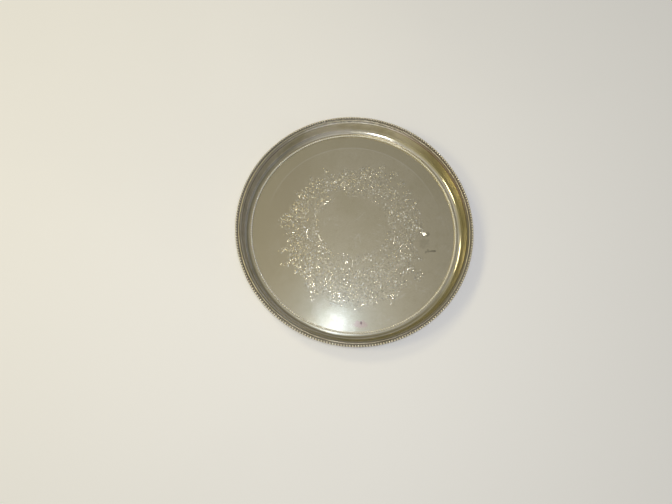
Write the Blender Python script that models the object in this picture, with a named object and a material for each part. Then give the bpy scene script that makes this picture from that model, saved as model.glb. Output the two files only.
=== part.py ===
"""Round metal salver: a flat floor plate in a raised wall, with a bead ring round the floor and a beaded rim.

Metres, +Z up. The tray lies flat on z = 0, with its centre on the Z axis.
"""
from math import asin, cos, pi, radians, sin, tan

import bmesh
import bpy

# The tray as a whole
tray_diameter = 0.305
wall_rise = 0.01847
fit_gap = 0.0003
turn_steps = 96

# The floor plate, and the ring of beads that stands just inside its edge
floor_thickness = 0.001
inner_bead_radius = 0.0014
inner_bead_pitch = 0.0031
inner_bead_inset = 0.0027
inner_bead_seat_drop = 0.0009
inner_neck_radius = 0.00105

# The wall: a foot under the floor's edge, a hollow curve, a steep side and a flange along the top
wall_sheet = 0.001
foot_lap = 0.004
seam_ledge = 0.0007
hollow_radius = 0.006
wall_lean = radians(3.5)
shoulder_radius = 0.0016
flange_width = 0.0066
edge_bend_radius = 0.0014
edge_setback = 0.0006
lip_depth = 0.0034
joggle_angle = radians(16)

# The wires on the flange, and the one that stiffens it from below
rim_bead_radius = 0.0015
rim_bead_pitch = 0.00349
rim_bead_seat_drop = 0.0009
rim_neck_radius = 0.0011
thread_radius = 0.00075
thread_inset = 0.0044
stiffener_radius = 0.0009

# How finely the curves are cut
hollow_steps = 5
bend_steps = 2
bead_crown_steps = 4
wire_sides = 6

# Heights, from the ground up
foot_top = wall_sheet
floor_bottom = foot_top + fit_gap
floor_top = floor_bottom + floor_thickness
flange_top = floor_top + wall_rise

# Radii, from the rim inwards
tray_radius = tray_diameter / 2
rim_bead_line = tray_radius - rim_bead_radius
flange_edge = tray_radius - edge_setback
shoulder_centre = flange_edge - flange_width
side_top_radius = shoulder_centre - shoulder_radius * cos(wall_lean)
side_top_height = flange_top - shoulder_radius + shoulder_radius * sin(wall_lean)
side_foot_height = floor_top + hollow_radius - hollow_radius * sin(wall_lean)
side_foot_radius = side_top_radius - (side_top_height - side_foot_height) * tan(wall_lean)
hollow_centre = side_foot_radius - hollow_radius * cos(wall_lean)
seam_radius = hollow_centre - seam_ledge
floor_radius = seam_radius - fit_gap
inner_bead_line = floor_radius - inner_bead_inset
thread_line = flange_edge - thread_inset

quarter_turn = pi / 2


def clear_scene():
    """Empty the scene, so that only the tray is in it."""
    for item in list(bpy.data.objects):
        bpy.data.objects.remove(item, do_unlink=True)


def make_material(name, colour, roughness):
    """Return a metal of one colour and roughness."""
    material = bpy.data.materials.new(name)
    material.use_nodes = True
    shader = material.node_tree.nodes["Principled BSDF"]
    shader.inputs["Base Color"].default_value = (*colour, 1.0)
    shader.inputs["Metallic"].default_value = 1.0
    shader.inputs["Roughness"].default_value = roughness
    return material


def add_object(name, mesh, material):
    """Put a mesh in the scene as one named, smooth-shaded piece."""
    mesh.materials.append(material)
    mesh.shade_smooth()
    mesh.set_sharp_from_angle(angle=radians(35))
    piece = bpy.data.objects.new(name, mesh)
    bpy.context.scene.collection.objects.link(piece)
    return piece


def arc(centre, radius, start, end, steps):
    """Points along an arc in the radius and height plane, its angles measured from straight up, outwards."""
    points = []
    for step in range(steps + 1):
        angle = start + (end - start) * step / steps
        points.append((centre[0] + radius * sin(angle), centre[1] + radius * cos(angle)))
    return points


def turn(name, outline, closed, material):
    """Turn an outline, which runs down its outer side, about the Z axis."""
    shape = bmesh.new()
    corners = [shape.verts.new((radius, 0, height)) for radius, height in outline]
    for first, second in zip(corners, corners[1:]):
        shape.edges.new((first, second))
    if closed:
        shape.edges.new((corners[-1], corners[0]))
    mesh = bpy.data.meshes.new(name)
    shape.to_mesh(mesh)
    shape.free()
    piece = add_object(name, mesh, material)
    screw = piece.modifiers.new("turn", "SCREW")
    screw.axis = "Z"
    screw.steps = turn_steps
    screw.render_steps = turn_steps
    screw.use_merge_vertices = True
    screw.merge_threshold = fit_gap / turn_steps
    screw.use_smooth_shade = True
    return piece


def seated_section(line_radius, seat, radius, drop):
    """Half-round section on a flat seat: its crown is an arc whose centre is one drop above the seat."""
    base_angle = quarter_turn + asin(drop / radius)
    return arc((line_radius, seat + drop), radius, base_angle, -base_angle, bead_crown_steps)


def bead_ring(name, line_radius, seat, pitch, bead_radius, neck_radius, drop, material):
    """A wire of half-round beads and narrower necks, closed into a ring on a flat seat."""
    beads = round(2 * pi * line_radius / pitch)
    stations = 2 * beads
    shape = bmesh.new()
    rings = []
    for station in range(stations):
        turned = 2 * pi * station / stations
        radius = bead_radius if station % 2 == 0 else neck_radius
        section = seated_section(line_radius, seat, radius, drop)
        rings.append([shape.verts.new((out * cos(turned), out * sin(turned), up)) for out, up in section])
    for station, ring in enumerate(rings):
        following = rings[(station + 1) % stations]
        for corner in range(len(ring)):
            beyond = (corner + 1) % len(ring)
            shape.faces.new((ring[corner], ring[beyond], following[beyond], following[corner]))
    bmesh.ops.recalc_face_normals(shape, faces=shape.faces)
    mesh = bpy.data.meshes.new(name)
    shape.to_mesh(mesh)
    shape.free()
    return add_object(name, mesh, material)


def make_floor_plate(material):
    """The flat plate that things stand on, dropped into the wall's seat."""
    outline = [(0, floor_top), (floor_radius, floor_top), (floor_radius, floor_bottom), (0, floor_bottom)]
    return turn("floor_plate", outline, False, material)


def make_gallery_wall(material):
    """The wall and its flange, spun from one sheet, with a foot that laps under the floor's edge."""
    hollow = (hollow_centre, floor_top + hollow_radius)
    shoulder = (shoulder_centre, flange_top - shoulder_radius)
    edge_bend = (flange_edge - edge_bend_radius, flange_top - edge_bend_radius)
    side_angle = quarter_turn + wall_lean
    joggle_start = (hollow_centre, 0)

    outline = arc(shoulder, shoulder_radius, wall_lean - quarter_turn, 0, bend_steps)
    outline += arc(edge_bend, edge_bend_radius, 0, quarter_turn, bend_steps)
    outline += [(flange_edge, flange_top - lip_depth), (flange_edge - wall_sheet, flange_top - lip_depth)]
    outline += arc(edge_bend, edge_bend_radius - wall_sheet, quarter_turn, 0, bend_steps)
    outline += arc(shoulder, shoulder_radius - wall_sheet, 0, wall_lean - quarter_turn, bend_steps)
    outline += arc(hollow, hollow_radius + wall_sheet, side_angle, pi - joggle_angle, hollow_steps)
    outline += [joggle_start, (floor_radius - foot_lap, 0), (floor_radius - foot_lap, foot_top)]
    outline += [(seam_radius, foot_top), (seam_radius, floor_top)]
    outline += arc(hollow, hollow_radius, pi, side_angle, hollow_steps)
    return turn("gallery_wall", outline, True, material)


def make_inner_bead_wire(material):
    """The ring of beads on the floor, just inside the seam."""
    return bead_ring("inner_bead_wire", inner_bead_line, floor_top + fit_gap, inner_bead_pitch,
                     inner_bead_radius, inner_neck_radius, inner_bead_seat_drop, material)


def make_rim_bead_wire(material):
    """The ring of beads along the outer edge of the flange."""
    return bead_ring("rim_bead_wire", rim_bead_line, flange_top + fit_gap, rim_bead_pitch,
                     rim_bead_radius, rim_neck_radius, rim_bead_seat_drop, material)


def make_rim_thread_wire(material):
    """The plain half-round wire on the flange, inside the beads."""
    outline = arc((thread_line, flange_top + fit_gap), thread_radius, -quarter_turn, quarter_turn,
                  bead_crown_steps)
    return turn("rim_thread_wire", outline, True, material)


def make_rim_stiffener(material):
    """The round wire in the corner below the flange, which keeps the thin edge from bending."""
    centre = (flange_edge - wall_sheet - fit_gap - stiffener_radius,
              flange_top - wall_sheet - fit_gap - stiffener_radius)
    whole_circle = arc(centre, stiffener_radius, 0, 2 * pi, wire_sides)
    return turn("rim_stiffening_wire", whole_circle[:-1], True, material)


def main():
    clear_scene()
    make_floor_plate(make_material("engraved_silver_plate", (0.60, 0.57, 0.48), 0.30))
    make_gallery_wall(make_material("spun_silver_plate", (0.58, 0.56, 0.49), 0.22))
    make_inner_bead_wire(make_material("inner_bead_silver", (0.70, 0.66, 0.56), 0.28))
    make_rim_bead_wire(make_material("rim_bead_silver", (0.68, 0.62, 0.53), 0.28))
    make_rim_thread_wire(make_material("thread_silver", (0.66, 0.61, 0.52), 0.22))
    make_rim_stiffener(make_material("brass_wire", (0.62, 0.47, 0.25), 0.35))


main()
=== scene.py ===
# %% [markdown]
# # A round beaded salver
# The object is a round, silver-plated serving tray, about 305 mm across. Its floor is engraved with a wreath of
# roses and leaves round a bare oval. A hollow wall rises from the floor to a narrow flange, and a ring of small
# beads stands at the foot of the wall and another along the rim.
#
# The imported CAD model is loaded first. It fixes where everything is, so each piece below is built in metres in the
# same frame, with the tray lying flat on z = 0 and its centre on the Z axis.

from math import ceil, cos, hypot, pi, radians, sin, sqrt, tan

import bpy
import numpy as np
from mathutils import Matrix, Vector
from mathutils.geometry import delaunay_2d_cdt


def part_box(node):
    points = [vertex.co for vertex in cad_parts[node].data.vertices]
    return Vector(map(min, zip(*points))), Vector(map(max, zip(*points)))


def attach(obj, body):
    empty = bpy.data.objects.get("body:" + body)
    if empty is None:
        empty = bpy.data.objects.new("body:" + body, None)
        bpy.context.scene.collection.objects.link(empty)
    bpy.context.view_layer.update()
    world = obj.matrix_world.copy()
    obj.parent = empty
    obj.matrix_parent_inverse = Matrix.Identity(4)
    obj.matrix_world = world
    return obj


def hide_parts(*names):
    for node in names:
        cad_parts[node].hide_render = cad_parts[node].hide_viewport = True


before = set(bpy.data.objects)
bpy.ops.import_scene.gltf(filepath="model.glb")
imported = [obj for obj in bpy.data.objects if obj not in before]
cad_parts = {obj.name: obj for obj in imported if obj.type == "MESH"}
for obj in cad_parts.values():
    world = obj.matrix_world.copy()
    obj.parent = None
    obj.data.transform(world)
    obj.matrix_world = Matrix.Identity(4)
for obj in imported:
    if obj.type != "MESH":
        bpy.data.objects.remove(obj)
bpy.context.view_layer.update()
scene = bpy.context.scene
mm = 0.001
print("pieces in the frame:", sorted(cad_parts))

# %% [markdown]
# ## Sizes that come from the frame
# The floor plate, the bead rings and the flange are already the right size in the CAD model. Reading their boxes
# means that a richer piece can't drift away from the solid that it stands for.

# %% Read the main sizes
floor_low, floor_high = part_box("floor_plate")
wall_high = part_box("gallery_wall")[1]
inner_low, inner_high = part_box("inner_bead_wire")
rim_low, rim_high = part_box("rim_bead_wire")
thread_low, thread_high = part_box("rim_thread_wire")
wire_low, wire_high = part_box("rim_stiffening_wire")

floor_radius = floor_high.x
floor_top = floor_high.z
floor_bottom = floor_low.z
flange_edge = wall_high.x
flange_top = wall_high.z
print(f"floor {2 * floor_radius / mm:.1f} mm across, {floor_top / mm:.1f} mm up; flange {flange_top / mm:.2f} mm up")

# %% [markdown]
# ## The camera
# In the photograph the tray stands on its rim and leans back, seen almost face on. Here it lies flat, so the camera
# hangs above it instead, 73 cm away and tilted by the same 17 degrees. Both bead rings are true circles, and their
# two ellipses in the photograph give this place and these directions.

# %% Hang the camera above the tray
def put_in_scene(name, data):
    """Make an object from its data and link it to the scene."""
    thing = bpy.data.objects.new(name, data)
    scene.collection.objects.link(thing)
    return thing


camera_place = Vector((-0.0653, -0.2006, 0.7033))
picture_right = Vector((0.9984, -0.01347, 0.05498)).normalized()
picture_down = Vector((0.0, -0.97128, -0.23793))
lens_length = 30.0
film_width = 36.0

picture_down = (picture_down - picture_right * picture_down.dot(picture_right)).normalized()
away = picture_right.cross(picture_down)
camera_data = bpy.data.cameras.new("camera")
camera_data.lens = lens_length
camera_data.sensor_width = film_width
camera = put_in_scene("camera", camera_data)
camera_turn = Matrix((picture_right, -picture_down, -away)).transposed()
camera.matrix_world = Matrix.Translation(camera_place) @ camera_turn.to_4x4()
scene.camera = camera
scene.view_settings.view_transform = "Standard"
print("camera at", [round(value, 3) for value in camera_place])

# %% [markdown]
# ## Helpers for materials
# Every finish is a small net of shader nodes. These helpers add a node, set it and plug it in, so that each recipe
# below reads as a list of steps instead of a page of links. They work on the net that is called tree, and each new
# effect or finish makes its own net the tree. A finish is thought of as thin layers, one over another.

# %% Small helpers for node nets
def add_node(kind, feeds=None, **options):
    """Add a node to the tree, set its options, and give its inputs values or other nodes' outputs."""
    made = tree.nodes.new(kind)
    for option, value in options.items():
        setattr(made, option, value)
    for place, value in (feeds or {}).items():
        if isinstance(value, bpy.types.NodeSocket):
            tree.links.new(value, made.inputs[place])
        else:
            made.inputs[place].default_value = value
    return made


def work_out(operation, *values):
    """One arithmetic step on numbers."""
    return add_node("ShaderNodeMath", dict(enumerate(values)), operation=operation).outputs[0]


def times(first, *others):
    """Numbers multiplied with each other."""
    for other in others:
        first = work_out("MULTIPLY", first, other)
    return first


def plus(first, *others):
    """Numbers added up."""
    for other in others:
        first = work_out("ADD", first, other)
    return first


def minus(first, second):
    """The first number less the second."""
    return work_out("SUBTRACT", first, second)


def vector_work(operation, *values):
    """One step on vectors. It gives a number where the step does, and otherwise a vector."""
    made = add_node("ShaderNodeVectorMath", dict(enumerate(values)), operation=operation)
    return made.outputs["Value" if operation in ("DOT_PRODUCT", "LENGTH") else "Vector"]


def split(vector):
    """The three numbers of a vector or a colour, named X, Y and Z."""
    return add_node("ShaderNodeSeparateXYZ", {0: vector}).outputs


def stretch(value, low, high, start=0.0, end=1.0):
    """Turn the range low to high into start to end, with soft ends."""
    feeds = {"Value": value, "From Min": low, "From Max": high, "To Min": start, "To Max": end}
    return add_node("ShaderNodeMapRange", feeds, interpolation_type="SMOOTHSTEP").outputs[0]


def noise(vector, scale, detail):
    """A soft random pattern, from 0 to 1."""
    feeds = {"Vector": vector, "Scale": scale, "Detail": detail}
    return add_node("ShaderNodeTexNoise", feeds).outputs["Fac"]


def mix_colours(share, first, second):
    """The first colour where share is 0, and the second where it is 1."""
    feeds = {0: share, 6: first, 7: second}
    return add_node("ShaderNodeMix", feeds, data_type="RGBA").outputs[2]


def layered(tone, *layers):
    """A tone with colours laid over it in turn. A layer is a colour and the shares that are multiplied for it."""
    for colour, *shares in layers:
        tone = mix_colours(times(*shares), tone, colour)
    return tone


def object_place():
    """The place of each point of the surface, in metres."""
    return add_node("ShaderNodeTexCoord").outputs["Object"]


def distance_towards(across, upward):
    """How far each point lies from the middle in one direction over the tray, in metres."""
    return vector_work("DOT_PRODUCT", object_place(), (across, upward, 0.0))


def distance_from_axis():
    """How far each point lies from the tray's axis, in metres."""
    return vector_work("LENGTH", vector_work("MULTIPLY", object_place(), (1.0, 1.0, 0.0)))


def new_effect(name, inputs, output):
    """Start a node group with named number inputs and one number output, and make it the tree."""
    global tree
    tree = group = bpy.data.node_groups.new(name, "ShaderNodeTree")
    for label, value in inputs.items():
        socket = group.interface.new_socket(label, in_out="INPUT", socket_type="NodeSocketFloat")
        socket.default_value = value
    group.interface.new_socket(output, in_out="OUTPUT", socket_type="NodeSocketFloat")
    print("effect:", name)
    return group, group.nodes.new("NodeGroupInput").outputs, group.nodes.new("NodeGroupOutput").inputs


def effect(group, **values):
    """Place a shared effect and feed its inputs. An input's name is written with _ for its spaces."""
    feeds = {label.replace("_", " "): value for label, value in values.items()}
    return add_node("ShaderNodeGroup", feeds, node_tree=group).outputs[0]

# %% [markdown]
# ## Effects that several finishes share
# Old silver plate is never one even grey. Tarnish lies in soft clouds, cloths leave hairline scratches, the spinner's
# tool leaves rings, and high places are rubbed bright while low ones keep their grime. Each of these is one node
# group with a few named inputs, so every piece can use it in its own strength.

# %% Tarnish in soft clouds
tarnish_clouds, given, result = new_effect(
    "tarnish clouds", {"Patch Size": 0.05, "Cover": 0.5, "Pattern": 0.0}, "Mask")
fineness = work_out("DIVIDE", 1.0, given["Patch Size"])
cloud = add_node("ShaderNodeTexNoise", {
    "Vector": object_place(), "W": given["Pattern"], "Scale": fineness, "Detail": 6.0, "Roughness": 0.55,
    "Distortion": 0.4}, noise_dimensions="4D").outputs["Fac"]
cloud_low = minus(0.66, times(given["Cover"], 0.36))
tree.links.new(stretch(cloud, cloud_low, plus(cloud_low, 0.22)), result["Mask"])

# %% [markdown]
# A hairline scratch is long and very thin. A noise pattern stretched along one direction has long thin contour
# lines, so the scratches are the places where such a noise crosses its middle value. Three directions are laid over
# each other, and a patchy second noise breaks the lines up.

# %% Hairline scratches
hairlines, given, result = new_effect(
    "hairline scratches", {"Length": 0.06, "Gap": 0.003, "Width": 0.02, "Cover": 0.5}, "Mask")
place = object_place()
scratch_turns = (radians(17), radians(-38), radians(81))
lines = 0.0
for order, turn_angle in enumerate(scratch_turns):
    turned_place = add_node("ShaderNodeVectorRotate", {
        "Vector": place, "Angle": turn_angle}, rotation_type="Z_AXIS").outputs[0]
    apart = split(turned_place)
    squeezed = add_node("ShaderNodeCombineXYZ", {
        "X": work_out("DIVIDE", apart["X"], given["Length"]),
        "Y": work_out("DIVIDE", apart["Y"], given["Gap"]),
        "Z": float(order)}).outputs[0]
    from_middle = work_out("ABSOLUTE", minus(noise(squeezed, 1.0, 1.0), 0.5))
    lines = work_out("MAXIMUM", lines, stretch(from_middle, 0.0, given["Width"], 1.0, 0.0))
break_edge = minus(0.68, times(given["Cover"], 0.36))
kept = stretch(noise(place, 45.0, 2.0), break_edge, plus(break_edge, 0.12))
tree.links.new(times(lines, kept), result["Mask"])

# %% [markdown]
# Sheet that was spun over a form on a lathe keeps very faint rings round its centre. They depend only on the
# distance from the axis, so one noise pattern along that distance is enough.

# %% Turning marks
turning_marks, given, result = new_effect("turning marks", {"Pitch": 0.0006}, "Height")
turns = work_out("DIVIDE", distance_from_axis(), given["Pitch"])
rings = add_node("ShaderNodeTexNoise", {"W": turns, "Scale": 1.0, "Detail": 3.0}, noise_dimensions="1D")
tree.links.new(rings.outputs["Fac"], result["Height"])

# %% [markdown]
# Rubbing cleans what stands high and leaves the grime where a cloth can't reach. On a bead ring that is a matter of
# height above its seat, with a ragged edge between the two. On the beads the dark roots are partly painted shade.

# %% Rubbed tops, and roots dark with grime and painted shade
height_band, given, result = new_effect("height band", {"Low": 0.0, "High": 0.001, "Ragged": 0.0003}, "Mask")
place = object_place()
shift = times(minus(noise(place, 320.0, 3.0), 0.5), given["Ragged"])
rise = plus(split(place)["Z"], shift)
tree.links.new(stretch(rise, given["Low"], given["High"]), result["Mask"])

# %% [markdown]
# Polish and dust also gather in the narrow channels beside the wires. Those are rings, so this effect marks the
# band between two distances from the axis.

# %% A band between two distances from the axis
ring_band, given, result = new_effect("ring band", {"Inner": 0.1, "Outer": 0.15, "Soft": 0.0003}, "Mask")
reach = distance_from_axis()
past_inner, past_outer = [
    stretch(reach, minus(given[edge], given["Soft"]), plus(given[edge], given["Soft"]))
    for edge in ("Inner", "Outer")]
tree.links.new(times(past_inner, minus(1.0, past_outer)), result["Mask"])


def ring(start, inner, outer, soft):
    """The band from inner to outer, in millimetres beyond a radius at which to start."""
    return effect(ring_band, Inner=start + inner * mm, Outer=start + outer * mm, Soft=soft * mm)

# %% [markdown]
# A stain or a rubbed spot lies at one place. This effect gives a soft, uneven patch round a centre on the floor,
# longer in one direction if its two radii differ.

# %% A patch at one place
soft_patch, given, result = new_effect(
    "soft patch", {"Across": 0.0, "Up": 0.0, "Half Width": 0.005, "Half Height": 0.005, "Ragged": 0.5}, "Mask")
place = object_place()
apart = split(place)
side = work_out("DIVIDE", minus(apart["X"], given["Across"]), given["Half Width"])
rise = work_out("DIVIDE", minus(apart["Y"], given["Up"]), given["Half Height"])
reach = work_out("SQRT", plus(times(side, side), times(rise, rise)))
unevenness = times(minus(noise(place, 240.0, 4.0), 0.5), given["Ragged"])
tree.links.new(stretch(plus(reach, unevenness), 0.35, 1.0, 1.0, 0.0), result["Mask"])

# %% [markdown]
# ## The studio
# The room is kept plain: a pale floor, even soft light from all round, and a few soft lamps. Polished metal shows
# its surroundings, so the lamps are placed where the photograph has its reflections. A small bright dish nearly
# overhead gives the white glow at the bottom of the engraved floor, two warm panels on the left give the golden
# streaks on the right wall, and a small lamp by the camera gives the star on the far wall and the sparkle in the
# engraving.

# %% Lay the pale floor
floor_reach = 4.0
floor_colour = (0.76, 0.765, 0.80, 1.0)
floor_colour_worn = (0.73, 0.735, 0.77, 1.0)
floor_glow = 0.34
ground_mesh = bpy.data.meshes.new("studio_floor")
ground_mesh.from_pydata([(across * floor_reach, upward * floor_reach, 0)
                         for across, upward in ((-1, -1), (1, -1), (1, 1), (-1, 1))], [], [(0, 1, 2, 3)])
ground_material = bpy.data.materials.new("pale_floor")
ground_material.use_nodes = True
tree = ground_material.node_tree
ground_shader = tree.nodes["Principled BSDF"]
ground_shader.inputs["Roughness"].default_value = 0.85
ground_shader.inputs["Specular IOR Level"].default_value = 0.2
patches = effect(tarnish_clouds, Patch_Size=0.7, Cover=0.6, Pattern=3.0)
tree.links.new(mix_colours(patches, floor_colour, floor_colour_worn), ground_shader.inputs["Base Color"])
seen_by = add_node("ShaderNodeLightPath").outputs
mirrored = work_out("MAXIMUM", seen_by["Is Glossy Ray"], seen_by["Is Transmission Ray"])
seen = work_out("MAXIMUM", seen_by["Is Camera Ray"], mirrored)
ground_shader.inputs["Emission Color"].default_value = floor_colour
tree.links.new(times(seen, floor_glow), ground_shader.inputs["Emission Strength"])
ground_mesh.materials.append(ground_material)
ground = put_in_scene("studio_floor", ground_mesh)
print("studio floor", 2 * floor_reach, "m wide")

# %% Hang the lamps
def add_lamp(name, place, target, width, level, colour):
    """A round soft lamp that faces its target. level is how bright its face is, where 1 is plain white."""
    data = bpy.data.lights.new(name, "AREA")
    data.shape = "DISK"
    data.size = width
    data.color = colour
    data.energy = level * pi * pi * (width / 2) ** 2
    lamp = put_in_scene(name, data)
    lamp.location = place
    lamp.rotation_euler = (Vector(target) - Vector(place)).to_track_quat("-Z", "Y").to_euler()


def direction(azimuth, elevation):
    """The direction at an angle round from +X and an angle up from the floor, in degrees."""
    turn_angle, lift = radians(azimuth), radians(elevation)
    return Vector((cos(lift) * cos(turn_angle), cos(lift) * sin(turn_angle), sin(lift)))


glow_spot = Vector((-0.027, -0.121, floor_top))
to_camera = (camera_place - glow_spot).normalized()
glow_way = Vector((-to_camera.x, -to_camera.y, to_camera.z))
neutral, warm, cool = (1.0, 0.99, 0.97), (1.0, 0.87, 0.50), (0.60, 0.73, 1.0)

add_lamp("small_dish", glow_spot + glow_way * 1.7, glow_spot, 0.05, 6.5, cool)
add_lamp("large_dish", glow_spot + glow_way * 1.75, glow_spot, 0.19, 0.6, cool)
add_lamp("camera_lamp", camera_place + Vector((0.028, 0.04, 0.02)), (0, 0, 0), 0.07, 90.0, neutral)
add_lamp("warm_panel_low", direction(185, 46) * 1.3, (0, 0, 0), 0.30, 12.0, warm)
add_lamp("warm_panel_high", direction(140, 47) * 1.3, (0, 0, 0), 0.27, 14.0, warm)

# %% [markdown]
# The light from all round comes from the world. It is brightest overhead and a little darker towards the far side,
# as in the photograph, where the top of the tray mirrors the dark end of the room. Looked at straight, past the edge
# of the floor, it is one plain pale wall.

# %% Set the light from all round
plain_light, warm_light, cool_light = (1.0, 0.985, 0.93, 1.0), (1.0, 0.90, 0.44, 1.0), (0.62, 0.76, 1.0, 1.0)
pale_wall = (0.62, 0.62, 0.60, 1.0)
world = bpy.data.worlds.new("soft_room")
scene.world = world
world.use_nodes = True
tree = world.node_tree
sky_way = add_node("ShaderNodeTexCoord").outputs["Generated"]
overhead = work_out("MAXIMUM", vector_work("DOT_PRODUCT", sky_way, glow_way), 0.0)
sideways, backwards = split(sky_way)["X"], split(sky_way)["Y"]
cool_glow = work_out("POWER", overhead, 250.0)
broad_glow = times(work_out("POWER", overhead, 4.0), 0.17)
narrow_glow = times(work_out("POWER", overhead, 40.0), 0.14)
level = times(plus(0.23, broad_glow, narrow_glow),
              stretch(sideways, -0.1, 0.7, 1.0, 0.48),
              stretch(backwards, -0.3, -0.8, 1.0, 1.6),
              stretch(backwards, 0.42, 0.75, 1.0, 0.62))
level = plus(level, times(cool_glow, 0.40))
room_colour = layered(plain_light, (warm_light, stretch(sideways, 0.05, -0.6)),
                      (cool_light, cool_glow, 0.7))
room_colour = vector_work("MULTIPLY", room_colour, level)
straight_on = add_node("ShaderNodeLightPath").outputs["Is Camera Ray"]
room_colour = mix_colours(straight_on, room_colour, pale_wall)
tree.links.new(room_colour, tree.nodes["Background"].inputs["Color"])
print("world:", world.name)

# %% [markdown]
# ## Helpers for pieces
# Nearly every piece of a salver is turned: an outline swept round the middle. An outline here is a list of points,
# each a distance from the axis and a height, which runs down its outer side so that the faces look outwards.

# %% Make a mesh into a piece
turn_count = 288
crease_angle = radians(40)
facet_angle = radians(1)


def add_piece(name, corners, faces, finish, material_slot, stands_for, sharp_from=crease_angle):
    """Make a named piece, let it ride on the tray, and hide the CAD solid that it stands for."""
    mesh = bpy.data.meshes.new(name)
    mesh.from_pydata(corners, [], faces)
    mesh.materials.append(finish)
    mesh.shade_smooth()
    mesh.set_sharp_from_angle(angle=sharp_from)
    piece = put_in_scene(name, mesh)
    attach(piece, "root")
    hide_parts(stands_for)
    print(f"{name}: {len(mesh.vertices)} points, {len(mesh.polygons)} faces")
    return piece


def note_on_points(piece, name, values):
    """Give each point of a piece a number that its finish can read."""
    piece.data.attributes.new(name, "FLOAT", "POINT").data.foreach_set("value", values)


def arc(centre, radius, start, end, steps):
    """Points along an arc in the radius and height plane, its angles measured from straight up, outwards."""
    angles = [start + (end - start) * step / steps for step in range(steps + 1)]
    return [(centre[0] + radius * sin(angle), centre[1] + radius * cos(angle)) for angle in angles]


def band(first, second):
    """The faces between two closed rows of corners, given by their numbers."""
    return list(zip(first, [*first[1:], first[0]], [*second[1:], second[0]], second))


def swept(stations):
    """Corners and faces of closed outlines that follow each other round the axis, each with its angle."""
    rows = len(stations[0][1])
    corners = [(out * cos(angle), out * sin(angle), up) for angle, outline in stations for out, up in outline]
    loops = [range(start, start + rows) for start in range(0, len(corners), rows)]
    return corners, [face for here, beyond in zip(loops, loops[1:] + loops[:1]) for face in band(here, beyond)]


def turned(outline):
    """Corners and faces of one closed outline swept round the axis."""
    return swept([(2 * pi * spoke / turn_count, outline) for spoke in range(turn_count)])


# %% [markdown]
# ## The wall
# The wall is one sheet of metal, spun to shape: a foot under the floor's edge, a hollow curve, a steep side, a
# rounded shoulder, and a flat flange whose edge is turned down to make it stiff. It could be drawn as a curve with
# a bevel, but an outline of exact arcs gives clean, steady reflections, and reflections are what this piece shows.

# %% Finish of the spun wall
def start_finish(name, metal=1.0):
    """A new material, whose net becomes the tree."""
    global tree
    material = bpy.data.materials.new(name)
    material.use_nodes = True
    tree = material.node_tree
    tree.nodes["Principled BSDF"].inputs["Metallic"].default_value = metal
    return material


def end_finish(material, tone, gloss, relief=None):
    """Plug a finish's colour, its roughness and, if it has one, its relief into its shader."""
    shader = tree.nodes["Principled BSDF"]
    for label, value in (("Base Color", tone), ("Roughness", gloss), ("Normal", relief)):
        if value is not None:
            tree.links.new(value, shader.inputs[label])
    print("finish:", material.name)


def bump(height, strength, depth, under=None):
    """A fine relief, on top of another one if that is given."""
    feeds = {"Height": height, "Strength": strength, "Distance": depth}
    if under is not None:
        feeds["Normal"] = under
    return add_node("ShaderNodeBump", feeds).outputs[0]


clean_silver = (0.74, 0.685, 0.56, 1.0)
dull_silver = (0.64, 0.585, 0.42, 1.0)
wall_silver = (0.86, 0.825, 0.755, 1.0)
wall_tarnish = (0.66, 0.62, 0.51, 1.0)
# A dark colour for real grime, also used as painted shade: in the bead gaps and roots, deep in the cuts and in dark
# specks.
dark_grime_and_shade = (0.085, 0.070, 0.048, 1.0)
foot_tarnish_and_shade = (0.33, 0.29, 0.17, 1.0)
olive_painted_shade = (0.36, 0.32, 0.14, 1.0)
bare_copper = (0.58, 0.40, 0.32, 1.0)
worn_copper = (0.42, 0.28, 0.20, 1.0)

spun_silver = start_finish("spun_silver_finish", 0.68)
clouds = effect(tarnish_clouds, Patch_Size=0.035, Cover=0.55, Pattern=1.0)
scratches = effect(hairlines, Length=0.05, Gap=0.0035, Width=0.02, Cover=0.5)
rings = effect(turning_marks, Pitch=0.0007)
groove = ring(floor_radius, -1.0, 0.75, 0.3)
foot = ring(floor_radius, 0.4, 3.4, 0.8)
# Tarnish in the foot's hollow, with painted shade on top of it: much darker towards the lower left than the upper
# right.
foot_tarnish_and_shade_share = stretch(distance_towards(0.7, 0.7), -0.04, 0.09, 0.90, 0.22)
steep_side = ring(floor_radius, 5.6, 8.5, 0.7)
upper_wall = effect(ring_band, Inner=floor_radius + 4.8 * mm, Outer=flange_edge - 6.0 * mm, Soft=0.9 * mm)
# Painted shade: the upper wall is laid over with olive on its right and lower right side, away from the warm panels.
shaded_side_share = stretch(distance_towards(0.87, -0.5), -0.02, 0.06, 0.0, 0.8)
on_top = effect(height_band, Low=flange_top - 2.0 * mm, High=flange_top - 1.5 * mm, Ragged=0.0)
flange = times(ring(flange_edge, -8.6, 1.0, 0.4), on_top)
shoulder_band = ring(flange_edge, -9.5, -6.7, 0.4)
lower_left = stretch(distance_towards(-0.4, -0.92), 0.02, 0.12)
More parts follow.
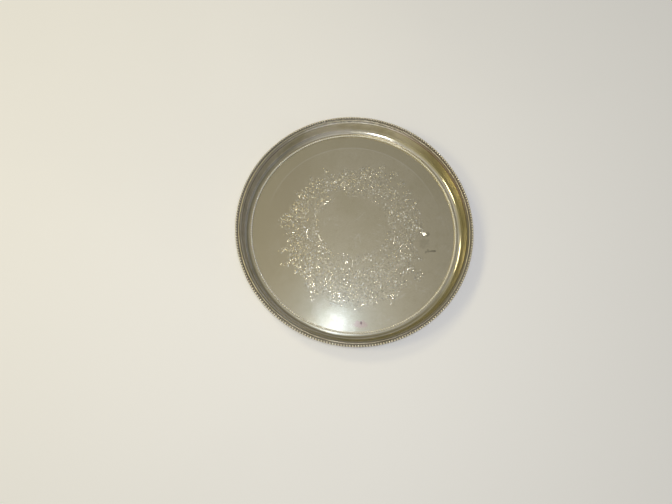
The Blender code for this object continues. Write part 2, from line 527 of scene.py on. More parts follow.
# Grime in the flange's channels, with painted light on top of it: much less at the very top, where the camera lamp's
# star falls, and at the lower left the shoulder is made lighter and the flange beyond it darker.
flange_grime_and_shade_share = plus(stretch(distance_towards(0.0, 1.0), 0.143, 0.105, 0.3, 0.72),
                    times(stretch(shoulder_band, 0.0, 1.0, 0.13, -0.50), lower_left))
flange_grime_and_shade = times(flange, flange_grime_and_shade_share)
worn_share = stretch(distance_towards(0.77, 0.64), 0.11, 0.14, 0.0, 0.35)
tone = layered(wall_silver, (wall_tarnish, clouds), (olive_painted_shade, upper_wall, shaded_side_share),
               (dark_grime_and_shade, flange_grime_and_shade), (worn_copper, flange, worn_share), (dark_grime_and_shade, groove, 0.15),
               (foot_tarnish_and_shade, foot, foot_tarnish_and_shade_share))
gloss = plus(stretch(clouds, 0.0, 1.0, 0.08, 0.13), times(scratches, 0.10),
             times(flange_grime_and_shade, 0.5), times(steep_side, 0.30))
relief = bump(rings, 0.05, 0.02 * mm)
relief = bump(minus(1.0, scratches), 0.10, 0.01 * mm, relief)
end_finish(spun_silver, tone, gloss, relief)

# %% Spin the wall
wall_sheet = 1.0 * mm
hollow_radius = 6.0 * mm
wall_lean = radians(3.5)
shoulder_radius = 1.6 * mm
flange_width = 6.6 * mm
flange_lean = radians(4)
edge_bend_radius = 1.4 * mm
lip_depth = 3.4 * mm
foot_lap = 4.0 * mm
seam_ledge = 0.7 * mm
fit_gap = 0.3 * mm
joggle_angle = radians(16)
quarter_turn = pi / 2

seam_radius = floor_radius + fit_gap
hollow_centre = seam_radius + seam_ledge
shoulder_centre = flange_edge - flange_width
hollow = (hollow_centre, floor_top + hollow_radius)
edge_bend = (flange_edge - edge_bend_radius, flange_top - edge_bend_radius)
flange_start = edge_bend[0] - edge_bend_radius * sin(flange_lean)
flange_end = shoulder_centre - shoulder_radius * sin(flange_lean)
flange_drop = (flange_start - flange_end) * tan(flange_lean)
shoulder = (shoulder_centre,
            edge_bend[1] + (edge_bend_radius - shoulder_radius) * cos(flange_lean) - flange_drop)

outline = arc(shoulder, shoulder_radius, wall_lean - quarter_turn, -flange_lean, 8)
outline += arc(edge_bend, edge_bend_radius, -flange_lean, quarter_turn, 6)
outline += [(flange_edge, flange_top - lip_depth), (flange_edge - wall_sheet, flange_top - lip_depth)]
outline += arc(edge_bend, edge_bend_radius - wall_sheet, quarter_turn, -flange_lean, 4)
outline += arc(shoulder, shoulder_radius - wall_sheet, -flange_lean, wall_lean - quarter_turn, 5)
outline += arc(hollow, hollow_radius + wall_sheet, quarter_turn + wall_lean, pi - joggle_angle, 12)
outline += [(hollow_centre, 0), (floor_radius - foot_lap, 0), (floor_radius - foot_lap, wall_sheet)]
outline += [(seam_radius, wall_sheet), (seam_radius, floor_top)]
outline += arc(hollow, hollow_radius, pi, quarter_turn + wall_lean, 14)
add_piece("spun_wall", *turned(outline), spun_silver, "spun_silver_plate", "gallery_wall")

# %% [markdown]
# ## The thread and the stiffening wire
# A thread is a plain half-round wire, soldered on the flange as a quiet line inside the beads. Under the flange a
# round brass wire lies in the corner, so that the thin edge doesn't bend when the tray is lifted.

# %% Finish of the thread
thread_silver = start_finish("thread_silver_finish")
clouds = effect(tarnish_clouds, Patch_Size=0.02, Cover=0.5, Pattern=6.0)
roots = effect(height_band, Low=flange_top + 0.6 * mm, High=flange_top + 0.1 * mm, Ragged=0.3 * mm)
tone = layered(clean_silver, (dull_silver, clouds), (dark_grime_and_shade, roots, 0.5))
end_finish(thread_silver, tone, stretch(clouds, 0.0, 1.0, 0.34, 0.42))

# %% Turn the thread
thread_radius = (thread_high.z - thread_low.z)
thread_line = thread_high.x - thread_radius
thread_sink = 0.3 * mm
outline = arc((thread_line, thread_low.z - thread_sink), thread_radius, -quarter_turn, quarter_turn, 10)
add_piece("rim_thread", *turned(outline), thread_silver, "thread_silver", "rim_thread_wire")

# %% Finish of the brass wire
clean_brass, dark_brass = (0.56, 0.40, 0.19, 1.0), (0.30, 0.21, 0.11, 1.0)
brass = start_finish("brass_finish")
clouds = effect(tarnish_clouds, Patch_Size=0.012, Cover=0.6, Pattern=8.0)
end_finish(brass, mix_colours(clouds, clean_brass, dark_brass), stretch(clouds, 0.0, 1.0, 0.28, 0.5))

# %% Turn the stiffening wire
wire_radius = (wire_high.z - wire_low.z) / 2
wire_centre = (wire_high.x - wire_radius, (wire_high.z + wire_low.z) / 2)
outline = arc(wire_centre, wire_radius, 0, 2 * pi, 14)[:-1]
add_piece("stiffening_wire", *turned(outline), brass, "brass_wire", "rim_stiffening_wire")

# %% [markdown]
# ## The bead rings
# Beaded wire is rolled between two shaped rollers, so it is one wire that swells into a ball and narrows to a neck,
# again and again. Copies of a ball would leave the necks out. Instead the wire's half-round section is swept
# round the ring, and its radius follows a ball's own curve between one neck and the next.

# %% Roll a beaded wire
section_steps = 8


def bead_wire(line_radius, seat, pitch, bead_radius, neck_radius, drop, stops):
    """Corners and faces of a beaded wire that lies on a flat seat and closes into a ring."""
    beads = round(2 * pi * line_radius / pitch)
    ball_half = sqrt(bead_radius ** 2 - neck_radius ** 2)
    swing = [ball_half * sin(quarter_turn * stop / stops) for stop in range(-stops, stops + 1)]
    stations, necks = [], []
    for bead in range(beads):
        for along in swing:
            swell = sqrt(bead_radius ** 2 - along ** 2)
            section = arc((line_radius, seat + drop), swell, quarter_turn, -quarter_turn, section_steps)
            for lower in (0.5, 1.0):
                half = swell * max(0.8, sqrt(max(0.0, 1 - (lower * drop / swell) ** 2)))
                section = [(line_radius + half, seat + drop * (1 - lower))] + section
                section.append((line_radius - half, seat + drop * (1 - lower)))
            stations.append((2 * pi * bead / beads + along / line_radius, section[::-1]))
            necks += [abs(along) / ball_half] * len(section)
    print(f"{beads} beads, {2 * pi * line_radius / beads / mm:.2f} mm apart")
    return *swept(stations), necks


# %% [markdown]
# The beads shine on their tops, and between them and at their roots they are darkened with grime and painted
# shade, so that each one shows as a bright dot. On the rim the plating is worn in places and a little copper shows.

# %% Finishes of the beads
def noted(name):
    """A number that the points of a piece remember."""
    return add_node("ShaderNodeAttribute", attribute_name=name).outputs["Fac"]


def bead_finish(name, seat, grime_and_shade_from, bright, haze, gap_grime_and_shade, copper_share, pattern):
    """Bright tops, grime and painted shade in the gaps and at the roots beyond a distance from the axis, and worn
    copper patches.
    """
    material = start_finish(name, 1.0 - haze)
    clouds = effect(tarnish_clouds, Patch_Size=0.03, Cover=0.45, Pattern=pattern)
    worn = effect(tarnish_clouds, Patch_Size=0.05, Cover=0.35, Pattern=pattern + 5.0)
    raised = effect(height_band, Low=seat + 0.2 * mm, High=seat + 1.3 * mm, Ragged=0.4 * mm)
    grime_and_shade_side = effect(ring_band, Inner=grime_and_shade_from, Outer=0.2, Soft=0.4 * mm)
    # Painted shade with some grime: the gaps between the beads, and their roots, are darkened.
    gaps = stretch(noted("neck"), 0.5, 0.95, 0.0, gap_grime_and_shade)
    bead_grime_and_shade = work_out("MAXIMUM", gaps, times(minus(1.0, raised), grime_and_shade_side))
    tone = layered(bright, (dull_silver, clouds, 0.2), (bare_copper, worn, copper_share), (dark_grime_and_shade, bead_grime_and_shade))
    end_finish(material, tone, stretch(bead_grime_and_shade, 0.0, 1.0, 0.22, 0.45))
    return material


inner_silver = bead_finish("inner_bead_finish", inner_low.z, floor_radius - 2.3 * mm, (0.99, 0.975, 0.935, 1.0),
                           haze=0.85, gap_grime_and_shade=0.12, copper_share=0.05, pattern=11.0)
rim_silver = bead_finish("rim_bead_finish", rim_low.z, 0.1, (0.97, 0.92, 0.83, 1.0),
                         haze=0.75, gap_grime_and_shade=0.8, copper_share=0.45, pattern=21.0)

# %% Lay both bead rings
inner_reach = 2.7 * mm
inner_bead_radius = inner_high.x - floor_radius + inner_reach
rim_bead_radius = 1.5 * mm
corners, faces, necks = bead_wire(inner_high.x - inner_bead_radius, inner_low.z, pitch=3.1 * mm,
                                  bead_radius=inner_bead_radius, neck_radius=0.75 * mm, drop=0.9 * mm, stops=4)
inner_ring = add_piece("inner_bead_ring", corners, faces, inner_silver, "inner_bead_silver", "inner_bead_wire")
note_on_points(inner_ring, "neck", necks)
corners, faces, necks = bead_wire(rim_high.x - rim_bead_radius, rim_low.z, pitch=3.49 * mm,
                                  bead_radius=rim_bead_radius - 0.08 * mm, neck_radius=0.55 * mm, drop=0.9 * mm,
                                  stops=5)
rim_ring = add_piece("rim_bead_ring", corners, faces, rim_silver, "rim_bead_silver", "rim_bead_wire")
note_on_points(rim_ring, "neck", necks)

# %% [markdown]
# ## The engraving: one stroke of the graver
# An engraver pushes a small steel chisel through the plate. Each stroke is a shallow V that starts as a point, swells
# and runs out again. The strokes could be drawn as a bump pattern, but here they are really cut, because light on
# the two sides of each V is what one sees of an engraving. A stroke is kept as its middle line and its half width at
# each point. It gets more points where it bends, so that straight strokes stay cheap. The slope of a V's sides
# decides what they mirror, so each stroke gets its own slope by chance, always from the same seed.

# %% The graver
stroke_halves = {"broad": 0.42, "heavy": 0.24, "firm": 0.16, "fine": 0.13, "dash": 0.21}
shallow = 0.06
peck = 1.5
least_step, longest_step = 0.05, 3.2
widest_bend = radians(24)
fewest_points, fewest_when_broad = 3, 5
broad_from = 0.4
mark_step = 0.4
ground_cell = 0.8
ground_reach = 120.0
sparkle_across, sparkle_upward, sparkle_height = -48.0, -180.0, 713.0
slope_spread = 0.20
ground_cells = int(2 * ground_reach / ground_cell)
strokes = []
dice = np.random.default_rng(7)
busy = np.zeros((ground_cells, ground_cells), bool)


def ground_spot(across, upward):
    """Row and column of the ground's cell at a place given in millimetres."""
    return (((upward + ground_reach) / ground_cell).astype(int), ((across + ground_reach) / ground_cell).astype(int))


def run_along(path):
    """How far along a path each of its points lies."""
    return np.concatenate(([0.0], np.cumsum(np.hypot(*np.diff(path, axis=0).T))))


def followed(path, run, stops):
    """The points of a path at some stops, where run says how far along it its own points lie."""
    return np.stack([np.interp(stops, run, path[:, 0]), np.interp(stops, run, path[:, 1])], 1)


def push(path, half, slope):
    """Push the graver once along a path, and mark the ground that it takes."""
    steps = np.diff(path, axis=0)
    lengths = np.hypot(*steps.T)
    headings = np.unwrap(np.arctan2(steps[:, 1], steps[:, 0]))
    bends = np.abs(np.diff(headings, prepend=headings[0]))
    pace = np.concatenate(([0.0], np.cumsum(lengths / longest_step + bends / widest_bend)))
    fewest = fewest_when_broad if half > broad_from else fewest_points
    even = np.linspace(0, pace[-1], max(fewest, int(ceil(pace[-1])) + 1))
    line = followed(path, pace, even)
    run = run_along(line)
    swell = np.sqrt(np.sin(pi * run / run[-1]).clip(0))
    swell[[0, -1]] = 0.0
    strokes.append((line, half * swell, slope))
    fine = np.linspace(0, run[-1], int(run[-1] / mark_step) + 2)
    busy[ground_spot(*followed(line, run, fine).T)] = True


def ramp(value):
    """A number held between 0 and 1."""
    return min(1.0, max(0.0, value))


def line_slope(upward):
    """A chance slope for a line at a height on the plate: the lines are shallower at the bottom."""
    return dice.uniform(shallow, 0.30 + 0.20 * ramp((upward + 60) / 100))


def dash_slope(across, upward):
    """A chance slope for a dash, round the one that mirrors the lamp by the camera, and flatter above and left."""
    shining = hypot(across - sparkle_across, upward - sparkle_upward) / sparkle_height
    flatter = 1 - 0.35 * ramp(upward / 70) - 0.30 * ramp(-across / 60)
    return max(shallow, shining * flatter + dice.uniform(-slope_spread, slope_spread))


def cut(points, weight="firm", pecked=False, slope=None):
    """Cut along points given in millimetres, in one stroke, or pecked: in a chain of short ones."""
    path = np.asarray(points, float)
    run = run_along(path)
    pieces = max(1, round(run[-1] / peck)) if pecked else 1
    ends = np.linspace(0, run[-1], pieces + 1)
    for start, end in zip(ends, ends[1:]):
        between = run[(run > start + least_step) & (run < end - least_step)]
        piece = followed(path, run, [start, *between, end])
        push(piece, stroke_halves[weight], slope or line_slope(piece[0, 1]))


def placed(points, centre, size, turn_angle):
    """Scale and turn points of a motif, and put them at its centre. Angles are in degrees, lengths in mm."""
    c, s = cos(radians(turn_angle)), sin(radians(turn_angle))
    return np.asarray(points, float) * size @ np.array([[c, s], [-s, c]]) + np.asarray(centre, float)


def smooth(points, per_span):
    """A smooth curve through a short outline."""
    p = np.asarray(points, float)
    p = np.vstack([2 * p[0] - p[1], p, 2 * p[-1] - p[-2]])
    curve = []
    for i in range(1, len(p) - 2):
        for t in np.arange(per_span) / per_span:
            curve.append(0.5 * (2 * p[i] + (p[i + 1] - p[i - 1]) * t
                                + (2 * p[i - 1] - 5 * p[i] + 4 * p[i + 1] - p[i + 2]) * t ** 2
                                + (3 * p[i] - p[i - 1] - 3 * p[i + 1] + p[i + 2]) * t ** 3))
    curve.append(p[-2])
    return curve


print("widest strokes:", stroke_halves)

# %% [markdown]
# ## The engraver's motifs
# The wreath is made of a few motifs that an engraver knows by heart: a rose with rings of petals, an open flower,
# a toothed leaf, a sprig with buds and a curling tendril. Each is a function that draws its strokes in a unit
# size, so the same rose can be cut large, small or turned. Petals and leaves are shaded with close, fine strokes,
# which is why the wreath looks like a dense sparkle from further away.

# %% Roses and open flowers
def polar(reach, angle):
    """The point at a distance and an angle from a motif's middle."""
    return reach * cos(angle), reach * sin(angle)


def pen(x, y, size, turn_angle):
    """A graver for one motif, which cuts points given in the motif's own unit size."""
    def draw(points, weight="fine", pecked=True):
        cut(placed(points, (x, y), size, turn_angle), weight, pecked)
    return draw


def scallop(outer, dip, count, start):
    """A closed ring of round lobes that meet in cusps."""
    return [polar(outer * (1 - dip * (1 - abs(cos(count * (angle - start) / 2)) ** 0.5)), angle)
            for angle in np.linspace(0, 2 * pi, 90)]


def rose(x, y, size, turn_angle):
    """An old-fashioned rose: a coiled heart inside rings of overlapping petals."""
    draw = pen(x, y, size, turn_angle)
    for outer, dip, count, start, weight, veins in [
            (1.0, 0.24, 5, 0.0, "firm", 9), (0.70, 0.24, 5, pi / 5, "firm", 7), (0.42, 0.2, 3, 0.3, "fine", 5)]:
        draw(scallop(outer, dip, count, start), weight)
        for petal in range(count):
            for vein in np.linspace(-0.42, 0.42, veins):
                angle = start + (petal + vein) * 2 * pi / count
                near, far = outer * (0.70 + 0.1 * abs(vein)), outer * (0.94 - 0.2 * abs(vein))
                draw([polar(near, angle), polar(far, angle)])
    draw([polar(0.045 * t, 1.9 * t) for t in np.linspace(0.6, 5.2, 40)], pecked=False)


petal_outline = [(0.26, -0.25), (0.6, -0.95), (0.88, -0.8), (1.0, -0.35), (0.9, 0.0),
                 (1.0, 0.35), (0.88, 0.8), (0.6, 0.95), (0.26, 0.25)]


def open_flower(x, y, size, turn_angle, petals=6):
    """A flat flower of notched petals round a button."""
    draw = pen(x, y, size, turn_angle)
    veins = 5 if size > 7 else 2
    half = pi / petals * 0.92
    for petal in range(petals):
        middle = petal * 2 * pi / petals
        draw(smooth([polar(reach, middle + k * half) for reach, k in petal_outline], 4), "firm")
        for k in np.linspace(-0.6, 0.6, veins):
            draw([polar(0.32, middle + k * half), polar(0.84 - 0.22 * abs(k), middle + k * half)])
    draw([polar(0.2, angle) for angle in np.linspace(0, 2 * pi, 24)])

# %% Leaves, sprigs and tendrils
def leaf(x, y, length, turn_angle, width=0.34, bend=0.15):
    """A toothed leaf from its stalk to its point, with a midrib and slanting veins."""
    draw = pen(x, y, length, turn_angle)
    teeth = max(5, round(length / 2.3))

    def rib(t):
        return np.array([t, bend * sin(pi * t) * 0.5])

    def breadth(t):
        return width * sin(pi * min(1.0, t ** 0.8)) ** 0.9

    for side in (-1, 1):
        edge = []
        for t in np.linspace(0, 1, 8 * teeth):
            tooth = 1 + 0.18 * ((t * teeth) % 1.0 - 0.5)
            edge.append(rib(t) + np.array([0.0, side * breadth(t) * tooth]))
        draw(edge[::2])
        for vein in range(1, teeth + 1):
            t = vein / (teeth + 1.3)
            draw([rib(t), rib(t) + np.array([0.15, side * breadth(t + 0.06) * 0.84])])
    draw([rib(t) for t in np.linspace(-0.12, 0.93, 14)], "firm")


def sprig(x, y, length, turn_angle, pairs=3, bend=0.2):
    """A curved stem with small pointed leaves in pairs and a bud on its tip."""
    draw = pen(x, y, length, turn_angle)

    def stem(t):
        return np.array([t, bend * sin(pi * t / 2) ** 2])

    draw([stem(t) for t in np.linspace(0, 1, 14)], "firm")
    for pair in range(pairs):
        t = (pair + 0.7) / (pairs + 0.6)
        size = 0.34 * (1.1 - 0.35 * t)
        for side in (-1, 1):
            way = np.array([cos(0.95), side * sin(0.95)])
            draw([stem(t), stem(t) + size * way], "firm", False)
            for edge in (-1, 1):
                draw([stem(t) + size * (k * way + edge * 0.26 * sin(pi * k) * np.array([-way[1], way[0]]))
                      for k in np.linspace(0, 1, 8)], pecked=False)
    tip = stem(1.0)
    draw([(tip[0] + 0.153 * (1 - cos(a)), tip[1] + 0.11 * sin(a)) for a in np.linspace(0, 2 * pi, 24)])


def tendril(x, y, size, turn_angle, hand=1):
    """A curl that winds in on itself."""
    curl = []
    for t in np.linspace(0, 0.8, 32):
        across, upward = polar((1 - t) ** 1.2 * 0.5 + 0.04, hand * 2.2 * pi * t ** 1.1)
        curl.append((0.5 - across, upward))
    pen(x, y, size, turn_angle)(curl)


print("motifs ready")

# %% [markdown]
# ## Laying out the wreath
# The places below were set against the photograph: how far right and up from the middle of the
# tray each motif lies in millimetres, its size, and the way that it points in degrees. The wreath isn't even. It is
# widest and fullest at the bottom and thins out at the top.

# %% Cut the flowers
for x, y, size, turn_angle in [(-88, 12, 10.5, 100), (-35, -72, 13, 30), (70, 33, 11.5, 60), (36, 69, 13, 10),
                               (-25, 66, 12.5, 80)]:
    rose(x, y, size, turn_angle)
for x, y, size, turn_angle, petals in [
        (-76, -40, 11, 20, 6), (3, -94, 11.5, 0, 6), (66, -49, 11, 40, 6), (-57, -72, 9, 70, 5), (54, 55, 5.5, 0, 6),
        (57, 43, 5, 30, 5), (69, 12, 5.5, 10, 5), (1, 77, 6, 0, 5), (-47, 41, 5.5, 0, 5), (61, -70, 5, 10, 5)]:
    open_flower(x, y, size, turn_angle, petals)
print(len(strokes), "strokes for the flowers")

# %% Cut the leaves
leaves = [
    # Left
    (-68, -12, 17, 150), (-69, -15, 20, 178), (-68, -19, 18, 205), (-64, -24, 14, 228), (-72, -30, 13, 165),
    (-62, 24, 16, 165), (-60, 34, 24, 192), (-58, 40, 17, 150), (-50, 50, 17, 165), (-46, 54, 17, 138),
    (-41, 57, 15, 112),
    # Lower left and bottom
    (-67, -50, 14, 215), (-56, -50, 17, 228), (-55, -53, 15, 255), (-49, -79, 14, 236), (-30, -84, 16, 262),
    (-25, -82, 18, 292), (-12, -92, 14, 200), (14, -89, 15, 338), (-42, -56, 13, 215),
    # Lower right
    (24, -64, 22, 277), (29, -66, 26, 294), (36, -68, 27, 300), (44, -64, 18, 322), (74, -54, 14, 330),
    (80, -58, 9, 350), (79, -60, 9, 300), (60, -34, 15, 345), (63, -24, 20, 350), (62, -18, 18, 18),
    (58, -27, 16, 322),
    # Right
    (48, 3, 18, 62), (59, 22, 13, 110), (77, 22, 13, 20), (60, 10, 12, 350), (47, 20, 14, 30),
    # Upper right and top
    (60, 60, 15, 52), (48, 74, 16, 22), (38, 80, 14, 80), (26, 78, 13, 118), (20, 62, 14, 175), (12, 56, 15, 62),
    (0, 56, 16, 82), (-8, 57, 14, 120), (-14, 76, 12, 60), (-38, 66, 13, 150)]
for number, (x, y, length, turn_angle) in enumerate(leaves):
    leaf(x, y, length, turn_angle, bend=0.15 if number % 2 else -0.15)
print(len(leaves), "leaves;", len(strokes), "strokes so far")

# %% Cut the sprigs and tendrils
sprigs = [
    (-78, -2, 12, 205), (-86, -24, 10, 190), (-84, -44, 9, 200), (-44, -46, 13, 235), (-30, -50, 14, 262),
    (-14, -50, 20, 262), (-3, -52, 24, 268), (8, -52, 22, 280), (18, -50, 15, 292), (50, -54, 14, 315),
    (52, -64, 13, 330), (76, -36, 12, 340), (70, -4, 12, 10), (80, 36, 9, 35), (66, 48, 12, 40), (30, 52, 12, 100),
    (44, 50, 10, 70), (14, 70, 13, 70), (-6, 68, 12, 95), (-34, 78, 8, 110), (-52, 62, 12, 125), (-66, 46, 12, 140),
    (-72, 30, 11, 160), (-74, 22, 9, 140), (44, -82, 12, 285), (-14, -80, 10, 250), (16, -78, 12, 285)]
for number, (x, y, length, turn_angle) in enumerate(sprigs):
    sprig(x, y, length, turn_angle, 3 if number % 3 else 2, 0.2 if number % 2 else -0.2)
for x, y, size, turn_angle, hand in [
        (-62, 6, 10, 160, 1), (-66, -34, 9, 240, -1), (-48, -66, 9, 200, 1), (-22, -56, 9, 250, -1),
        (24, -82, 10, 300, 1), (56, -40, 10, 330, -1), (82, -12, 9, 20, 1), (62, 0, 8, 60, -1), (80, 44, 8, 80, 1),
        (22, 84, 8, 150, -1), (8, 84, 8, 60, 1), (-12, 54, 8, 150, -1), (-56, 30, 8, 120, 1), (-80, 24, 8, 60, -1),
        (52, 30, 8, 40, 1), (-4, -78, 8, 240, 1)]:
    tendril(x, y, size, turn_angle, hand)
print(len(sprigs), "sprigs;", len(strokes), "strokes so far")

# %% [markdown]
# ## The cartouche
# Round the bare oval runs a broken strap: two strong lines with small ribs between them, which curls up at its
# ends. A few broad, flat-sided strokes at its ends catch the light and show as white flecks. Far out on the right
# someone has nicked the plate with a row of short gouges, and their sides flash like a small mirror.

# %% Cut the strap and its curls
oval_middle = np.array([-1.0, 7.0])
oval_inner = np.array([46.0, 40.0])
oval_outer = np.array([60.5, 52.0])
rib_every, rib_bulge = 3, 3.0
glint_half = np.array([1.1, 0.0])


def on_oval(share, angle):
    """A point between the strap's inner and outer edge, at an angle in degrees."""
    half = oval_inner + (oval_outer - oval_inner) * share
    return oval_middle + half * np.array([cos(radians(angle)), sin(radians(angle))])


for start, end in [(166, 236), (306, 350), (44, 98), (14, 36), (122, 152), (246, 262), (272, 296)]:
    for share, weight in ((0.0, "firm"), (0.16, "fine"), (0.84, "fine"), (1.0, "firm")):
        cut([on_oval(share, angle) for angle in np.linspace(start, end, 40)], weight, True)
    ribs = int((end - start) / rib_every)
    for rib in range(1, ribs):
        angle = start + (end - start) * rib / ribs
        cut([on_oval(0.22 + 0.56 * t, angle + rib_bulge * sin(pi * t)) for t in np.linspace(0, 1, 6)], "fine")
    for tip, hand in ((start, -1), (end, 1)):
        curl = []
        for t in np.linspace(0, 1, 40):
            radius = (1 - t) * 0.5 + 0.06
            curl.append(on_oval(0.5 + radius * cos(2.6 * pi * t), tip + hand * 9 * radius * sin(2.6 * pi * t)))
        cut(curl, "fine", True)
for weight, glint in [
        ("broad", [(-61, 1), (-62.5, -5), (-60.5, -11)]), ("broad", [(-47, -6), (-45, -11), (-43, -15)]),
        ("fine", [(-51, 18), (-50, 23), (-47, 27)]), ("broad", [(53, -7), (52, -12), (50.5, -17)]),
        ("broad", [(60, -21), (57, -26), (54, -30)]), ("heavy", [(5, -42), (9, -40), (13, -38.5)]),
        ("heavy", [(-3, -40), (-3, -44), (-4, -48)])]:
    for middle in np.array(smooth(glint, 5)):
        cut([middle - glint_half, middle, middle + glint_half], weight, slope=dice.uniform(0.23, 0.28))
print(len(strokes), "strokes so far")

# %% Nick the plate
nick_left, nick_right = np.array([87.6, -1.6]), np.array([94.2, -6.4])
nick_side = np.array([0.62, 0.78])
left_gap, right_gap, nick_slope = 0.55, 1.05, 0.315
for order in (-2, -1, 0, 1, 2):
    left_end, right_end = nick_left + nick_side * order * left_gap, nick_right + nick_side * order * right_gap
    cut([left_end, (left_end + right_end) / 2, right_end], "broad", slope=nick_slope)

# %% [markdown]
# ## The chased ground
# Between the motifs the engraver roughens the ground with short dashes, so that it looks duller than the smooth
# plate. The dashes fall at random, but from a fixed seed, and only where nothing is cut yet.

# %% Roughen the ground between the motifs
tries, nearest, furthest = 26000, 0.38, 0.76
dashes = 0
for _ in range(tries):
    angle, reach_share = dice.uniform(0, 2 * pi), sqrt(dice.uniform(nearest ** 2, furthest ** 2))
    turn_angle, length = dice.uniform(0, pi), dice.uniform(0.9, 1.3)
    middle = reach_share * floor_radius / mm * np.array([cos(angle), sin(angle)])
    from_oval = hypot(*((middle - oval_middle) / oval_outer))
    ragged_edge = 0.60 + 0.05 * sin(5 * angle + 1) + 0.03 * sin(11 * angle) + 0.12 * max(0.0, -sin(angle)) ** 3
    if from_oval < 1.04 or reach_share > ragged_edge or busy[ground_spot(*middle)]:
        continue
    half_way = length / 2 * np.array([cos(turn_angle), sin(turn_angle)])
    cut([middle - half_way, middle, middle + half_way], "dash", slope=dash_slope(*middle))
    dashes += 1
print(dashes, "dashes,", len(strokes), "strokes in all")

# %% [markdown]
# ## Building the floor plate
# The plate's face is a net of triangles whose edges follow both sides and the middle of every stroke. Where strokes
# cross, the triangulation adds the crossing as a corner. Then each corner is let down as deep as the deepest stroke
# over it, so the sides of each V are true flat facets. A wide grid of corners keeps the bare places from getting
# long thin triangles.

# %% Triangulate the face round the strokes
grid_edge, grid_step, grid_reach, snap = 126.0, 4.0, 128.0, 1e-4
face_corners, face_edges = [], []
for line, halves, slope in strokes:
    along = np.gradient(line, axis=0)
    sideways = np.stack([-along[:, 1], along[:, 0]], 1) / np.hypot(*along.T)[:, None]
    first, count = len(face_corners), len(line)
    offsets = sideways[1:-1] * halves[1:-1, None]
    face_corners += [*line, *(line[1:-1] + offsets), *(line[1:-1] - offsets)]
    left = range(first + count, first + 2 * count - 2)
    right = range(first + 2 * count - 2, first + 3 * count - 4)
    for way_along in (range(first, first + count), [first, *left, first + count - 1],
                      [first, *right, first + count - 1]):
        face_edges += list(zip(way_along, way_along[1:]))
grid = np.arange(-grid_edge, grid_edge + 1, grid_step)
face_corners += [np.array([across, upward]) for across in grid for upward in grid
                 if hypot(across, upward) < grid_reach]
for spoke in range(turn_count):
    angle = 2 * pi * spoke / turn_count
    face_corners.append(np.array([cos(angle), sin(angle)]) * floor_radius / mm)
found = delaunay_2d_cdt([Vector(corner) for corner in face_corners], face_edges, [], 0, snap)
face_spots, face_triangles = np.array(found[0], float), [list(triangle) for triangle in found[2]]
print(len(face_corners), "corners put in,", len(face_spots), "out;", len(face_triangles), "triangles")

# %% Let each corner down into its stroke
least_depth, full_depth = 0.004, 0.25
depth = np.zeros(len(face_spots))
order_across = np.argsort(face_spots[:, 0])
sorted_across = face_spots[order_across, 0]
for line, halves, slope in strokes:
    low, high = line.min(0) - halves.max(), line.max(0) + halves.max()
    strip = order_across[np.searchsorted(sorted_across, low[0]):np.searchsorted(sorted_across, high[0])]
    near = strip[(face_spots[strip, 1] > low[1]) & (face_spots[strip, 1] < high[1])]
    for start, end, half_start, half_end in zip(line, line[1:], halves, halves[1:]):
        way = end - start
        from_start = face_spots[near] - start
        share = np.clip(from_start @ way / (way @ way), 0, 1)
        off_line = np.hypot(*(from_start - share[:, None] * way).T)
        lowered = slope * (half_start + (half_end - half_start) * share - off_line)
        depth[near] = np.maximum(depth[near], lowered)
depth[depth < least_depth] = 0.0
print("deepest cut", round(depth.max(), 2), "mm")

# %% [markdown]
# The face now gets its edge and its underside. Each point also remembers how deeply it is cut, in an attribute named
# cut, so that the finish can treat the strokes differently from the old surface. A second one, worked, says how
# densely the ground round it is cut. Work finer than the strokes above is left to the finish there: specks painted
# bright as glints, specks painted dark as shade, and here and there a tiny facet that leans its own way and flashes,
# with a painted sheen on it.

# %% How densely the ground is worked
bare_below, full_above = 0.05, 0.65
blur = range(-4, 5)
density = sum(np.roll(np.roll(busy, down, 0), across, 1).astype(float) for down in blur for across in blur)
density /= len(blur) ** 2


def worked_share(spots):
    """How densely the ground is cut round each of the given places, from 0 to 1."""
    inside = np.hypot(*spots.T) < ground_reach - 1
    rows, columns = ground_spot(*np.where(inside[:, None], spots, 0.0).T)
    return np.where(inside, np.clip((density[rows, columns] - bare_below) / (full_above - bare_below), 0, 1), 0.0)


print("worked share of the ground:", round(float((density > 0.2).mean()), 3))

# %% Finish of the engraved plate
plate_silver = (0.72, 0.66, 0.50, 1.0)
plate_tarnish = (0.64, 0.58, 0.41, 1.0)
yellow_tone = (0.50, 0.43, 0.28, 1.0)
bright_cut = (0.95, 0.92, 0.84, 1.0)
painted_glint = (0.95, 0.90, 0.76, 1.0)
facet_painted_sheen = (0.80, 0.82, 0.82, 1.0)
pink, plum = (0.72, 0.40, 0.44, 1.0), (0.22, 0.09, 0.13, 1.0)
speck_size = 1.0 * mm
marks = [
    # How far right and up, half width and half height in mm, ragged, share, colour
    (96.3, -4.8, 3.6, 4.6, 2.0, 0.35, dark_grime_and_shade), (91.0, -16.5, 10.0, 9.0, 2.0, 0.14, dark_grime_and_shade),
    (102.5, -27.6, 5.0, 1.7, 2.0, 0.5, dark_grime_and_shade), (96.0, -27.0, 2.0, 3.0, 2.0, 0.3, dark_grime_and_shade),
    (92.5, -29.5, 1.6, 2.4, 2.0, 0.3, dark_grime_and_shade), (5.3, -122.2, 9.0, 4.5, 4.0, 0.3, pink),
    (6.0, -120.3, 1.5, 2.8, 1.0, 0.7, plum)]

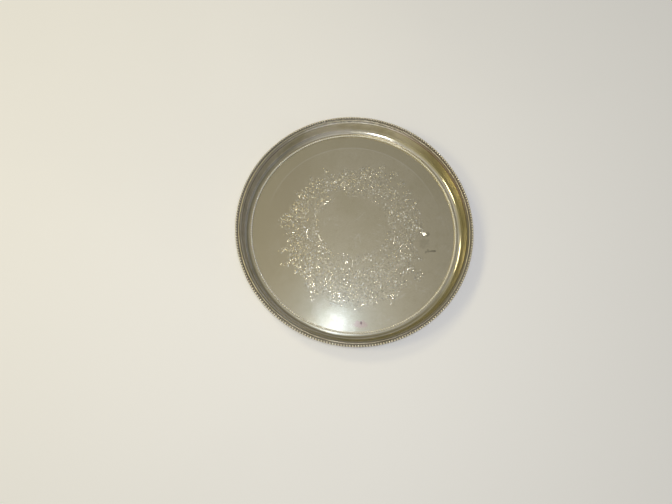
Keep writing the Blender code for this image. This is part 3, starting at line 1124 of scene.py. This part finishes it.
engraved_silver = start_finish("engraved_silver_finish", 0.92)
clouds = effect(tarnish_clouds, Patch_Size=0.06, Cover=0.5, Pattern=2.0)
small_clouds = effect(tarnish_clouds, Patch_Size=0.012, Cover=0.4, Pattern=4.0)
fine_clouds = effect(tarnish_clouds, Patch_Size=0.004, Cover=0.45, Pattern=9.0)
scratches = effect(hairlines, Length=0.08, Gap=0.005, Width=0.013, Cover=0.5)
outer_band = effect(ring_band, Inner=0.1165, Outer=0.2, Soft=0.8 * mm)
arc_line = effect(ring_band, Inner=0.1153, Outer=0.1168, Soft=0.6 * mm)
upper_part = stretch(distance_towards(0.0, 1.0), 0.01, 0.08)
left_side = stretch(distance_towards(-1.0, 0.0), 0.03, 0.085, 0.0, 0.45)
cuts = noted("cut")
scored = stretch(cuts, 0.0, 0.12)
worked = stretch(noted("worked"), 0.05, 1.0)
# On the worked ground, light specks are painted glints and dark specks are painted shade; the leaning facets also get
# a lighter, painted sheen.
specks = add_node("ShaderNodeTexVoronoi", {"Vector": object_place(), "Scale": 1 / speck_size},
                  voronoi_dimensions="2D").outputs
chances = split(specks["Color"])
speck_shape = times(stretch(specks["Distance"], 0.3, 0.6, 1.0, 0.0), worked)
leaning = times(stretch(chances["Z"], 0.93, 0.95, 0.0, 0.75), worked)

# Deep in the cuts the plate is darkened with grime and painted shade. Towards the left the plate is made darker and
# yellower, and near the top its outer band is darker, with a thin lighter arc inside it.
tone = layered(
    plate_silver, (plate_tarnish, clouds, 0.5), (plate_tarnish, small_clouds, 0.5),
    (yellow_tone, fine_clouds, 0.16), (bright_cut, scratches, 0.25), (yellow_tone, left_side),
    (plate_tarnish, outer_band, upper_part, 0.6), (bright_cut, arc_line, upper_part, 0.2),
    (bright_cut, scored, 0.45), (dark_grime_and_shade, stretch(cuts, 0.05, 0.4, 0.0, 0.45)),
    (painted_glint, stretch(chances["X"], 0.55, 0.75, 0.0, 0.75), speck_shape),
    (dark_grime_and_shade, stretch(chances["Y"], 0.60, 0.80, 0.0, 0.42), speck_shape), (facet_painted_sheen, leaning))
for across, upward, half_width, half_height, ragged, share, colour in marks:
    mark = effect(soft_patch, Across=across * mm, Up=upward * mm, Half_Width=half_width * mm,
                  Half_Height=half_height * mm, Ragged=ragged)
    tone = layered(tone, (colour, mark, share))
gloss = plus(stretch(clouds, 0.0, 1.0, 0.10, 0.13), times(scratches, 0.08),
             times(scored, 0.26), times(leaning, 0.36))
relief = bump(minus(1.0, scratches), 0.10, 0.01 * mm)
lean_way = vector_work("SUBTRACT", specks["Color"], (0.5, 0.5, 0.96))
leant = vector_work("NORMALIZE", vector_work("MULTIPLY_ADD", lean_way, leaning, relief))
end_finish(engraved_silver, tone, gloss, leant)

# %% Close the plate round its edge and underneath
underside_rings = (1.0, 0.97, 0.6, 0.25)
corners = [(across * mm, upward * mm, floor_top - deep * mm) for (across, upward), deep in zip(face_spots, depth)]
faces = []
for triangle in face_triangles:
    first, second, third = face_spots[triangle]
    faces.append(triangle if Vector(second - first).cross(Vector(third - second)) > 0 else triangle[::-1])
at_rim = np.nonzero(np.hypot(*face_spots.T) > floor_radius / mm - 0.01)[0]
outer_ring = list(at_rim[np.argsort(np.arctan2(face_spots[at_rim, 1], face_spots[at_rim, 0]))])
for share in underside_rings:
    ring_start = len(corners)
    for number in outer_ring:
        angle = np.arctan2(corners[number][1], corners[number][0])
        corners.append((*polar(floor_radius * share, angle), floor_bottom))
    following_ring = list(range(ring_start, len(corners)))
    faces += band(following_ring, outer_ring)
    outer_ring = following_ring
faces.append(outer_ring[::-1])

engraved_floor = add_piece("engraved_floor", corners, faces, engraved_silver, "engraved_silver_plate", "floor_plate",
                           sharp_from=facet_angle)
underneath = np.zeros(len(corners) - len(depth))
note_on_points(engraved_floor, "cut", np.append(np.clip(depth / full_depth, 0, 1), underneath))
note_on_points(engraved_floor, "worked", np.append(worked_share(face_spots), underneath))
triangles = sum(len(face.vertices) - 2 for face in engraved_floor.data.polygons)
print("engraved floor:", triangles, "triangles")
